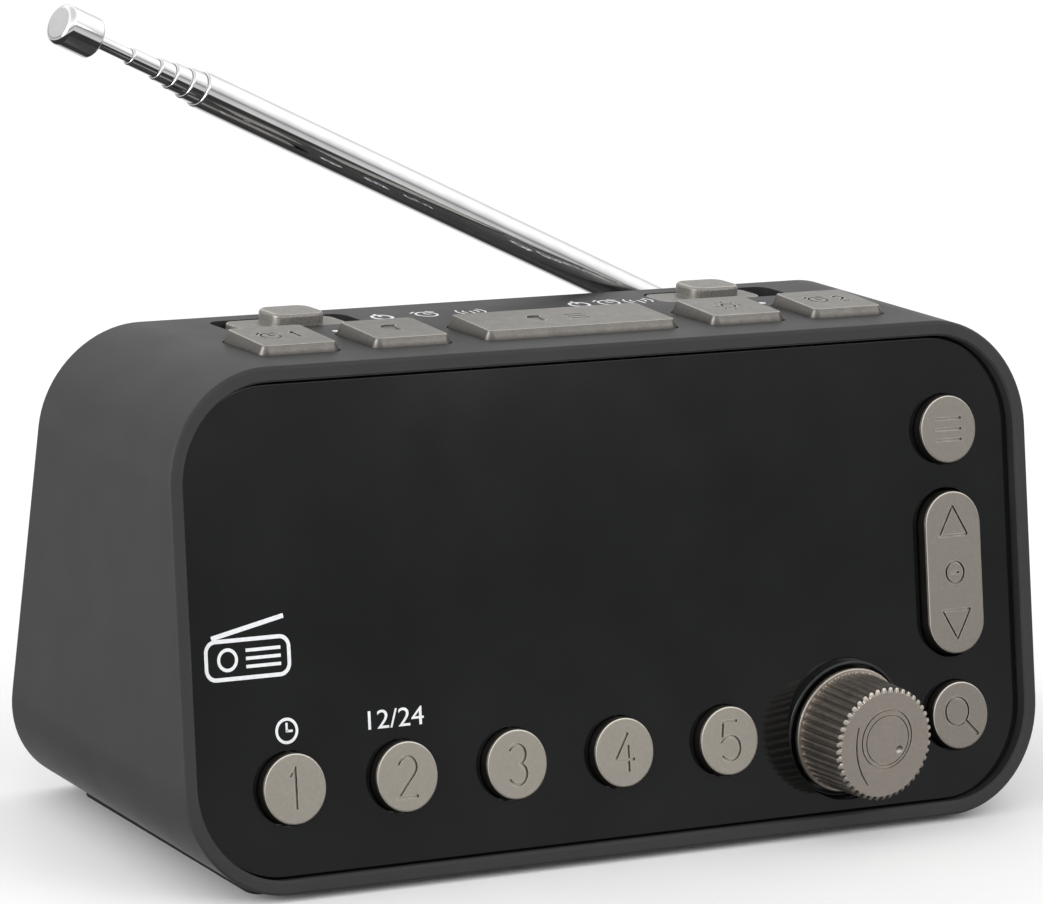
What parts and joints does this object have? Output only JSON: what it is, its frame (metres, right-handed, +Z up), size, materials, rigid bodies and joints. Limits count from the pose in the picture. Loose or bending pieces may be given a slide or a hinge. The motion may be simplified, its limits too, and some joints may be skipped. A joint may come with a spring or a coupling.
{
  "type": "tabletop clock radio",
  "caption": "Small tabletop clock radio with a leaning glossy front, round buttons, a ribbed volume knob, keys and slide switches on top and a telescopic aerial.",
  "frame": {"origin": "on the table (the plane of the two rubber foot strips), under the middle of the radio with its knob and its folded aerial", "axes": "+X to the right of somebody facing the radio, +Y towards its back, +Z up"},
  "size_m": [0.1554, 0.07, 0.1234],
  "materials": {
    "cabinet_paint": "fine satin paint over plastic",
    "lens": "polished black",
    "black_plastic": "moulded",
    "cover_plastic": "fine spark-eroded grain",
    "foot_rubber": "matt",
    "black_steel": "blackened",
    "button_nickel": "fine brushed, warm grey",
    "key_paint": "satin silver paint",
    "bright_steel": "drawn",
    "board": "solder resist",
    "display": "polished",
    "diffuser": "translucent white",
    "switch_plastic": "moulded",
    "tin": "tinned sheet",
    "sleeve_film": "shrunk film",
    "cable": "flat cable",
    "wire": "insulation",
    "basket_steel": "stamped sheet",
    "magnet": "ferrite",
    "paper": "pressed paper",
    "aerial_chrome": "bright plated"
  },
  "bodies": {
    "housing": {"cabinet": "cabinet_paint", "front_lens": "lens", "front_frame": "black_plastic", "rear_cover": "cover_plastic", "foot_strips": "foot_rubber", "rear_screws": "black_steel", "knob_collar": "black_plastic", "encoder_body": "tin", "encoder_board": "board", "slide_switch_1": "tin", "slide_switch_2": "tin", "display_glass": "display", "backlight": "diffuser", "face_board": "board", "face_switches": "switch_plastic", "top_board": "board", "top_switches": "switch_plastic", "main_board": "board", "tuner_module": "tin", "power_jack": "switch_plastic", "headphone_jack": "switch_plastic", "capacitors": "sleeve_film", "board_screws": "bright_steel", "ribbon_cable": "cable", "speaker_leads": "wire", "speaker_basket": "basket_steel", "speaker_magnet": "magnet", "speaker_cone": "paper", "speaker_screws": "bright_steel"},
    "preset_1": {"preset_key_1": "button_nickel"},
    "preset_2": {"preset_key_2": "button_nickel"},
    "preset_3": {"preset_key_3": "button_nickel"},
    "preset_4": {"preset_key_4": "button_nickel"},
    "preset_5": {"preset_key_5": "button_nickel"},
    "mode": {"mode_key": "button_nickel"},
    "search": {"search_key": "button_nickel"},
    "rocker": {"rocker_key": "button_nickel"},
    "volume": {"volume_knob": "button_nickel", "encoder_shaft": "bright_steel"},
    "alarm_1_cap": {"alarm_1_key": "key_paint"},
    "sleep_cap": {"sleep_key": "key_paint"},
    "snooze_cap": {"snooze_key": "key_paint"},
    "light_cap": {"light_key": "key_paint"},
    "alarm_2_cap": {"alarm_2_key": "key_paint"},
    "alarm_1_switch": {"alarm_1_slider": "key_paint"},
    "alarm_2_switch": {"alarm_2_slider": "key_paint"},
    "aerial_fork": {"aerial_base": "aerial_chrome", "aerial_clip": "bright_steel", "aerial_pin": "bright_steel"},
    "aerial_root": {"aerial_tube_1": "aerial_chrome"},
    "aerial_stage_2": {"aerial_tube_2": "aerial_chrome"},
    "aerial_stage_3": {"aerial_tube_3": "aerial_chrome"},
    "aerial_stage_4": {"aerial_tube_4": "aerial_chrome"},
    "aerial_stage_5": {"aerial_tube_5": "aerial_chrome"},
    "aerial_tip": {"aerial_rod": "aerial_chrome", "aerial_cap": "aerial_chrome"}
  },
  "joints": [
    {"name": "preset_1_press", "type": "slide", "parent": "housing", "child": "preset_1", "axis": [0, 0.974, -0.2267], "range_m": [0, 0.0007], "stiffness_N_per_m": 600, "springref_m": -0.0002},
    {"name": "preset_2_press", "type": "slide", "parent": "housing", "child": "preset_2", "axis": [0, 0.974, -0.2267], "range_m": [0, 0.0007], "stiffness_N_per_m": 600, "springref_m": -0.0002},
    {"name": "preset_3_press", "type": "slide", "parent": "housing", "child": "preset_3", "axis": [0, 0.974, -0.2267], "range_m": [0, 0.0007], "stiffness_N_per_m": 600, "springref_m": -0.0002},
    {"name": "preset_4_press", "type": "slide", "parent": "housing", "child": "preset_4", "axis": [0, 0.974, -0.2267], "range_m": [0, 0.0007], "stiffness_N_per_m": 600, "springref_m": -0.0002},
    {"name": "preset_5_press", "type": "slide", "parent": "housing", "child": "preset_5", "axis": [0, 0.974, -0.2267], "range_m": [0, 0.0007], "stiffness_N_per_m": 600, "springref_m": -0.0002},
    {"name": "mode_press", "type": "slide", "parent": "housing", "child": "mode", "axis": [0, 0.974, -0.2267], "range_m": [0, 0.0007], "stiffness_N_per_m": 600, "springref_m": -0.0002},
    {"name": "search_press", "type": "slide", "parent": "housing", "child": "search", "axis": [0, 0.974, -0.2267], "range_m": [0, 0.0007], "stiffness_N_per_m": 600, "springref_m": -0.0002},
    {"name": "rocker_tilt", "type": "hinge", "parent": "housing", "child": "rocker", "pos_m": [0.0625, -0.01526, 0.03682], "axis": [1, 0, 0], "range_deg": [-3.5, 3.5], "stiffness_Nm_per_rad": 0.03},
    {"name": "volume_turn", "type": "hinge", "parent": "housing", "child": "volume", "pos_m": [0.0415, -0.02423, 0.01549], "axis": [0, -0.999, 0.0454], "continuous": true},
    {"name": "alarm_1_press", "type": "slide", "parent": "housing", "child": "alarm_1_cap", "axis": [0, -0.0541, -0.9985], "range_m": [0, 0.0006], "stiffness_N_per_m": 600, "springref_m": -0.0002},
    {"name": "sleep_press", "type": "slide", "parent": "housing", "child": "sleep_cap", "axis": [0, -0.0541, -0.9985], "range_m": [0, 0.0006], "stiffness_N_per_m": 600, "springref_m": -0.0002},
    {"name": "snooze_press", "type": "slide", "parent": "housing", "child": "snooze_cap", "axis": [0, -0.0541, -0.9985], "range_m": [0, 0.0006], "stiffness_N_per_m": 600, "springref_m": -0.0002},
    {"name": "light_press", "type": "slide", "parent": "housing", "child": "light_cap", "axis": [0, -0.0541, -0.9985], "range_m": [0, 0.0006], "stiffness_N_per_m": 600, "springref_m": -0.0002},
    {"name": "alarm_2_press", "type": "slide", "parent": "housing", "child": "alarm_2_cap", "axis": [0, -0.0541, -0.9985], "range_m": [0, 0.0006], "stiffness_N_per_m": 600, "springref_m": -0.0002},
    {"name": "alarm_1_slide", "type": "slide", "parent": "housing", "child": "alarm_1_switch", "axis": [1, 0, 0], "range_m": [-0.0024, 0.0024]},
    {"name": "alarm_2_slide", "type": "slide", "parent": "housing", "child": "alarm_2_switch", "axis": [1, 0, 0], "range_m": [0, 0.0048]},
    {"name": "aerial_swivel", "type": "hinge", "parent": "housing", "child": "aerial_fork", "pos_m": [0.061, 0.03151, 0.06013], "axis": [0, 0.9971, 0.0767], "range_deg": [-23.8, 156.2]},
    {"name": "aerial_tilt", "type": "hinge", "parent": "aerial_fork", "child": "aerial_root", "pos_m": [0.061, 0.03151, 0.06013], "axis": [-0.4035, 0.0702, -0.9123], "range_deg": [0, 90]},
    {"name": "aerial_pull_1", "type": "slide", "parent": "aerial_root", "child": "aerial_stage_2", "axis": [-0.915, -0.031, 0.4024], "range_m": [-0.0019, 0.095]},
    {"name": "aerial_pull_2", "type": "slide", "parent": "aerial_stage_2", "child": "aerial_stage_3", "axis": [-0.915, -0.031, 0.4024], "range_m": [-0.0021, 0.095]},
    {"name": "aerial_pull_3", "type": "slide", "parent": "aerial_stage_3", "child": "aerial_stage_4", "axis": [-0.915, -0.031, 0.4024], "range_m": [-0.002, 0.095]},
    {"name": "aerial_pull_4", "type": "slide", "parent": "aerial_stage_4", "child": "aerial_stage_5", "axis": [-0.915, -0.031, 0.4024], "range_m": [-0.0044, 0.095]},
    {"name": "aerial_pull_5", "type": "slide", "parent": "aerial_stage_5", "child": "aerial_tip", "axis": [-0.915, -0.031, 0.4024], "range_m": [-0.0055, 0.095]}
  ]
}
